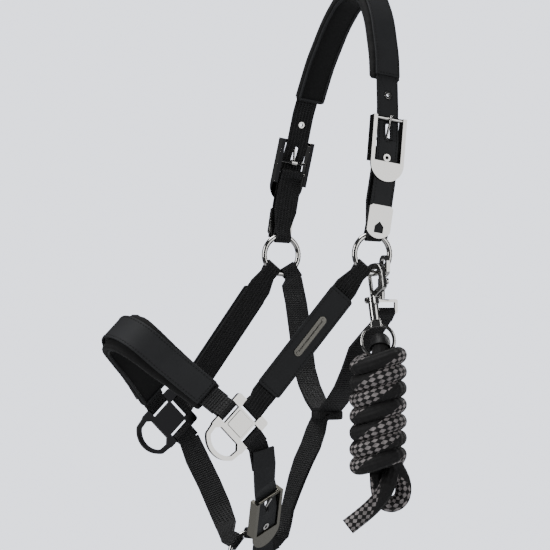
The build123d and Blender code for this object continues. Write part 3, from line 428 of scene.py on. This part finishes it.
def stitch_line(points, normals, pitch, long, thick):
    """Verts and faces of a row of thread stitches that lies along points."""
    verts, faces = [], []
    run, target = 0.0, pitch / 2
    for i in range(len(points) - 1):
        a, b = points[i], points[i + 1]
        step = (b - a).length
        if step < 1e-7:
            continue
        way = (b - a) / step
        normal = (normals[i] - way * normals[i].dot(way)).normalized()
        side = way.cross(normal)
        while target <= run + step:
            middle = a + way * (target - run)
            faces += band_faces(len(STITCH_RINGS), STITCH_SIDES, len(verts))
            for at, size, rise in STITCH_RINGS:
                for k in range(STITCH_SIDES):
                    turn = 2 * math.pi * k / STITCH_SIDES
                    across = side * math.cos(turn) * thick / 2 * size
                    up = normal * (math.sin(turn) * thick / 2 * size + rise * thick / 2)
                    verts.append(middle + way * at * long + across + up)
            target += pitch
        run += step
    return verts, faces


def stitch_round(node, inside, body, inset, material):
    """Thread stitches round the outer face of a strip."""
    work = welded(node)
    verts, faces = [], []
    for loop in rim(outer_face(work, inside)):
        loop = loop + loop[:1]
        points = [p + w * inset for p, w, n in loop]
        more, sides = stitch_line(points, [n for p, w, n in loop], STITCH_PITCH, STITCH_LONG, STITCH_THICK)
        faces += [tuple(i + len(verts) for i in side) for side in sides]
        verts += more
    work.free()
    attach(add(node + "_stitching", verts, faces, material), body)


def soft_copy(node, body, material):
    """A padded piece in the place of a CAD node, with its edges rounded over."""
    thing = bpy.data.objects.new(node + "_padding", nodes[node].data.copy())
    bpy.context.scene.collection.objects.link(thing)
    thing.data.materials.clear()
    thing.data.materials.append(material)
    weld(thing)
    round_over(thing, 0.0025, 10)
    bpy.context.view_layer.update()
    made = bpy.data.meshes.new_from_object(thing.evaluated_get(bpy.context.evaluated_depsgraph_get()))
    thing.modifiers.clear()
    thing.data = made
    made.polygons.foreach_set("use_smooth", [True] * len(made.polygons))
    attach(thing, body)
    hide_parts(node)


# ---------------------------------------------------------------- rope
HANG = Vector(joints["lead_rope_swing"]["pos_m"])
ROPE_RADIUS = 0.0082
STRANDS = 5  # each way
LAY = 0.0124  # along the rope, for one turn of a strand's wave
# The hank, in millimetres as the route is
HANK_LEFT = -2.0  # middle of the hank, sideways from the eye
HANK_TOP = -0.35
HANK_ACROSS, HANK_DEEP = 20.8, 24.5
HANK_PITCH = 16.3
HANK_TILT = 10.0
HANK_TURNS = 6.5
HANK_STEPS = 14  # in a turn


def rope_point(x, y, z):
    """A place by the lead rope in millimetres: across the view, up, and towards the camera, from its eye."""
    return HANG + ACROSS * (x / 1000) + Vector((0, 0, y / 1000)) + TOWARD * (z / 1000)


def rope_route():
    """The rope's listed route: its eye, the core, the loop below, back up, round the hank, and out."""
    start = [(0, -17, -9.5), (0, -8, -11.6), (0, 1, -12), (0, 9.5, -9), (0, 13.6, 0), (0, 9.5, 9),
             (0, 1, 12), (0, -8, 11), (2, -22, 9), (4, -42, 8), (4, -62, 8), (5, -82, 7), (9, -99, 2),
             (17, -112, -5), (22, -122, -9), (23.8, -132, -9.5), (21, -142.5, -9.5), (11, -147.5, -9.5),
             (1.5, -142.5, -9.5), (-1.5, -131, -9.5), (-2, -117, -9), (-4, -100, -8), (-5, -80, -8),
             (-5, -58, -8), (-5, -38, -8), (-4, -20, -9), (-6, -7, -15), (-14, -4, -17)]
    points = [rope_point(*p) for p in start]
    for i in range(int(HANK_TURNS * HANK_STEPS) + 1):
        turns = i / HANK_STEPS
        angle = math.pi - 2 * math.pi * turns
        x = HANK_LEFT + HANK_ACROSS * math.cos(angle)
        y = HANK_TOP - HANK_PITCH * turns + HANK_TILT * math.cos(angle)
        points.append(rope_point(x, y, HANK_DEEP * math.sin(angle)))
    end = [(15, -104, -11), (11, -114, -3), (8, -124, 6), (3, -136, 9.5), (-9, -149, 9.5), (-21, -159, 9.5),
           (-32, -167.5, 9.5)]
    return points + [rope_point(*p) for p in end]


def smooth_line(name, route):
    """The points of a smooth curve through the neighbourhood of a route, and its length."""
    data = bpy.data.curves.new(name, "CURVE")
    data.dimensions = "3D"
    data.resolution_u = 6
    spline = data.splines.new("NURBS")
    spline.points.add(len(route) - 1)
    for point, where in zip(spline.points, route):
        point.co = (*where, 1)
    spline.order_u = 3
    spline.use_endpoint_u = True
    holder = bpy.data.objects.new(name, data)
    bpy.context.scene.collection.objects.link(holder)
    bpy.context.view_layer.update()
    mesh = bpy.data.meshes.new_from_object(holder)
    points = [v.co.copy() for v in mesh.vertices]
    bpy.data.objects.remove(holder)
    return points, sum((b - a).length for a, b in zip(points, points[1:]))


def even(points, step):
    """The same line, with points an even step apart."""
    out, spare = [points[0]], 0.0
    for a, b in zip(points, points[1:]):
        long = (b - a).length
        at = step - spare
        while at <= long:
            out.append(a.lerp(b, at / long))
            at += step
        spare = (spare + long) % step
    if (out[-1] - points[-1]).length < step / 2:
        out.pop()
    return out + [points[-1]]


def tube(name, points, radius, around, material, shape=None):
    """A closed tube along points. Its UV runs once round and in metres along. shape changes the radius."""
    verts, faces, uvs = [], [], []
    side = None
    run = 0.0
    runs = []
    for i, point in enumerate(points):
        ahead = points[min(i + 1, len(points) - 1)] - points[max(i - 1, 0)]
        ahead.normalize()
        if side is None:
            side = ahead.orthogonal().normalized()
        side = (side - ahead * side.dot(ahead)).normalized()
        up = ahead.cross(side)
        if i:
            run += (point - points[i - 1]).length
        runs.append(run)
        for k in range(around):
            turn = 2 * math.pi * k / around
            r = radius * (shape(run, turn) if shape else 1)
            verts.append(point + side * math.cos(turn) * r + up * math.sin(turn) * r)
    for i in range(len(points) - 1):
        for k in range(around):
            m = (k + 1) % around
            faces.append((i * around + k, i * around + m, (i + 1) * around + m, (i + 1) * around + k))
            u0, u1 = k / around, (k + 1) / around
            uvs += [(u0, runs[i]), (u1, runs[i]), (u1, runs[i + 1]), (u0, runs[i + 1])]
    for ring, far in ((0, 0), (len(points) - 1, 1)):
        middle = len(verts)
        verts.append(points[ring])
        for k in range(around):
            m = (k + 1) % around
            a, b = ring * around + k, ring * around + m
            faces.append((a, b, middle) if far else (b, a, middle))
            uvs += [(0, 0)] * 3
    thing = add(name, verts, faces, material)
    layer = thing.data.uv_layers.new(name="UVMap")
    for i, uv in enumerate(uvs):
        layer.data[i].uv = uv
    return thing


def make_rope():
    points, long = smooth_line("rope_line", rope_route())

    def plait(run, turn):
        one = math.sin(STRANDS * turn + 2 * math.pi * run / LAY)
        two = math.sin(STRANDS * turn - 2 * math.pi * run / LAY)
        return 1 - 0.012 * one * two

    rope = tube("lead_rope", even(points, 0.0016), ROPE_RADIUS, 48, braid("rope"), plait)
    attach(rope, "lead_rope")
    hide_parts("lead_rope_eye", "lead_rope_hank", "lead_rope_loop", "lead_rope_tail")
    even(points, 0.004)
    print("rope length", round(long, 3), "m")


# ---------------------------------------------------------------- building
POLL_TO_RINGS = Vector(joints["face_swing"]["pos_m"])
CHEEK_END = (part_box("near_square_fitting")[0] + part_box("near_square_fitting")[1]) / 2
CHEEK_WAY = (CHEEK_END - Vector(joints["near_cheek_ring_turn"]["pos_m"])).normalized()
FAR_CHEEK_WAY = Vector((-CHEEK_WAY.x, CHEEK_WAY.y, CHEEK_WAY.z))
LEVEL = Vector((1, 0, 0))
FORWARD_UP = Vector((0, -1, 1)).normalized()
BACK_UP = Vector((0, 1, 1)).normalized()
# Ways in to the head, which tell a strap's inner side from its outer one
UNDER_POLL = POLL_TO_RINGS + Vector((0, 0, 0.08))
IN_CHEEKS = Vector((0, -0.12, -0.34))
IN_NOSE = Vector((0, -0.175, -0.424))
EDGED = ["near_buckle_tongue", "far_buckle_tongue", "chin_buckle_tongue", "throat_snap_eye", "near_strap_tip",
         "far_strap_tip"]
TURNED = ["near_cheek_ring", "far_cheek_ring", "chin_ring", "throat_snap_body", "throat_snap_bolt",
          "lead_snap_bolt"]
CAST = ["lead_snap_body", "lead_swivel_eye"]
CAST_GRAIN = 0.00045
METAL_EDGE, SMALL_EDGE, STRAP_EDGE, COVER_EDGE = 0.0011, 0.0002, 0.0005, 0.0009
COVER_INSET, CROWN_INSET = 0.0026, 0.0024  # from a strip's edge to its stitches
PIPING_INSET, PIPING_RADIUS = 0.0032, 0.0015
KEEPER_HALF, KEEPER_DEEP, KEEPER_HIGH = 0.009, 0.0138, 0.0050  # halves of its length, depth and height
KEEPER_SQUARE = 0.35  # 1 is an oval section, and less is squarer


def make_metal():
    bright = nickel("nickel")
    for node in EDGED:
        dress(node, bright, METAL_EDGE)
    for node in TURNED:
        dress(node, bright)
    for node in CAST:
        dress(node, bright, cast=CAST_GRAIN)
    # Painted shade: the far fitting's and far buckle's faces square to x get a near-black nickel, though they
    # are the same metal as the bright nickel.
    painted_shade_front = nickel("painted_shade_nickel", (0.012, 0.012, 0.013), 0.10)
    # Painted shade: the near fitting's and near buckle's side walls get a dark nickel, though they are the
    # same metal as their bright fronts.
    painted_shade_walls = nickel("painted_shade_wall_nickel", (0.10, 0.098, 0.09), 0.2)
    flat = {"far_square_fitting": (bright, painted_shade_front), "far_buckle_frame": (bright, painted_shade_front),
            "near_square_fitting": (painted_shade_walls, bright), "near_buckle_frame": (painted_shade_walls, bright)}
    for node, (sides, front) in flat.items():
        dress(node, sides, METAL_EDGE)
        nodes[node].data.materials.append(front)
        # Faces square to x take the second material: painted shade on the far pieces, the plain bright nickel
        # on the near ones.
        for face in nodes[node].data.polygons:
            if abs(face.normal.x) > 0.8:
                face.material_index = 1
    plate = nickel("plate", (0.16, 0.155, 0.14), 0.3)
    small = {"name_plate": plate, "name_plate_rivets": plate, "crown_eyelets": bright, "chin_eyelet": bright}
    for node, material in small.items():
        dress(node, material, SMALL_EDGE, 2)
    dress("chin_buckle_frame", nickel("dark_nickel", (0.22, 0.21, 0.18), 0.2), METAL_EDGE)
    for node in ("throat_snap_spring", "lead_snap_spring"):
        dress(node, plain("spring", (0.5, 0.5, 0.5), 0.3, 1.0))
    dress("lead_rope_sleeve", plain("rubber", (0.012, 0.012, 0.013), 0.5), 0.0006)


def make_webbing():
    """Dresses each strap in webbing, given the way along it and the way across it."""
    crown = ((0, 0.16, 1), (0, 1, -0.16))
    plans = {
        "crown_webbing": crown,
        "near_ring_strap": crown,
        "far_ring_strap": crown,
        "near_cheek_webbing": (CHEEK_WAY, CHEEK_WAY.cross(LEVEL)),
        "far_cheek_webbing": (FAR_CHEEK_WAY, FAR_CHEEK_WAY.cross(LEVEL)),
        "noseband_webbing": (FORWARD_UP, BACK_UP),
        "far_chin_strap": ((0.3, 0.3, -0.9), (0, 1, 0.3)),
        "near_chin_loop": ((0, 0.7, -0.7), (0, 0.7, 0.7)),
        "chin_buckle_strap": ((-0.76, 0.12, -0.64), (-0.3, 0.8, 0.5)),
        "throat_strap": ((0, 0, 1), (0, 1, 0)),
        "throat_centre_strap": ((0, -0.3, -1), (1, 0, 0)),
    }
    for node, (way, across) in plans.items():
        dress(node, webbing(node, way, across), STRAP_EDGE, 2)


def two_faced(node, inside, front):
    """Gives the outer side of a strap another material than its back."""
    thing = nodes[node]
    thing.data.materials.append(front)
    work = welded(node)
    outer = [(f.calc_center_median(), f.normal.copy()) for f in in_order(outer_face(work, inside))]
    work.free()
    tree = kdtree.KDTree(len(outer))
    for i, (middle, normal) in enumerate(outer):
        tree.insert(middle, i)
    tree.balance()
    for face in thing.data.polygons:
        near = tree.find(face.center)
        if near[2] < 0.0004 and outer[near[1]][1].dot(face.normal) > 0.9:
            face.material_index = 1


def make_covers():
    thread = plain("thread", (0.004, 0.004, 0.004), 0.7)
    skin = leather("leather")
    covers = {
        "crown_cover": ("crown", UNDER_POLL),
        "near_cheek_cover": ("face", IN_CHEEKS),
        "far_cheek_cover": ("face", IN_CHEEKS),
        "noseband_cover": ("face", IN_NOSE),
    }
    for node, (body, inside) in covers.items():
        dress(node, skin, COVER_EDGE)
        stitch_round(node, inside, body, COVER_INSET, thread)
    two_faced("crown_webbing", UNDER_POLL, skin)
    stitch_round("crown_webbing", UNDER_POLL, "crown", CROWN_INSET, thread)
    dress("chin_billet", skin, 0.0006, 2)
    piping("crown_pad", UNDER_POLL, "crown", skin)
    piping("noseband_pad", IN_NOSE, "face", skin)
    throat_keeper()
    soft_copy("crown_pad", "crown", lining("crown_lining"))
    soft_copy("noseband_pad", "face", lining("nose_lining"))


def piping(node, inside, body, material):
    """A sewn rim round the side of a pad that lies against the head."""
    work = welded(node)
    for i, loop in enumerate(rim(outer_face(work, inside, -1))):
        points = [p + w * PIPING_INSET + n * 0.0002 for p, w, n in loop]
        points = even(points + points[:1], 0.003)
        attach(tube(f"{node}_piping_{i}", points, PIPING_RADIUS, 10, material), body)
    work.free()


def throat_keeper():
    """The sewn keeper that holds the centre strap to the throat strap."""
    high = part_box("throat_centre_strap")[1]
    middle = Vector((0, high.y - 0.0085, high.z - 0.0016))
    verts = []
    around = 36
    body = KEEPER_HALF - 0.0008
    ends = ((-KEEPER_HALF, 0.92), (-body, 1.0), (body, 1.0), (KEEPER_HALF, 0.92))
    for x, size in ends:
        for k in range(around):
            turn = 2 * math.pi * k / around
            c, s = math.cos(turn), math.sin(turn)
            y = math.copysign(abs(c) ** KEEPER_SQUARE, c) * KEEPER_DEEP * size
            z = math.copysign(abs(s) ** KEEPER_SQUARE, s) * KEEPER_HIGH * size
            verts.append(middle + Vector((x, y, z)))
    faces = band_faces(len(ends), around)
    faces.append(tuple(range(around))[::-1])
    faces.append(tuple(range(len(verts) - around, len(verts))))
    keeper = add("throat_keeper", verts, faces, webbing("keeper", (0, 1, 0), (1, 0, 0)), smooth=False)
    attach(keeper, "face")


make_camera()
make_world()
make_studio()
make_rope()
make_metal()
make_webbing()
make_covers()
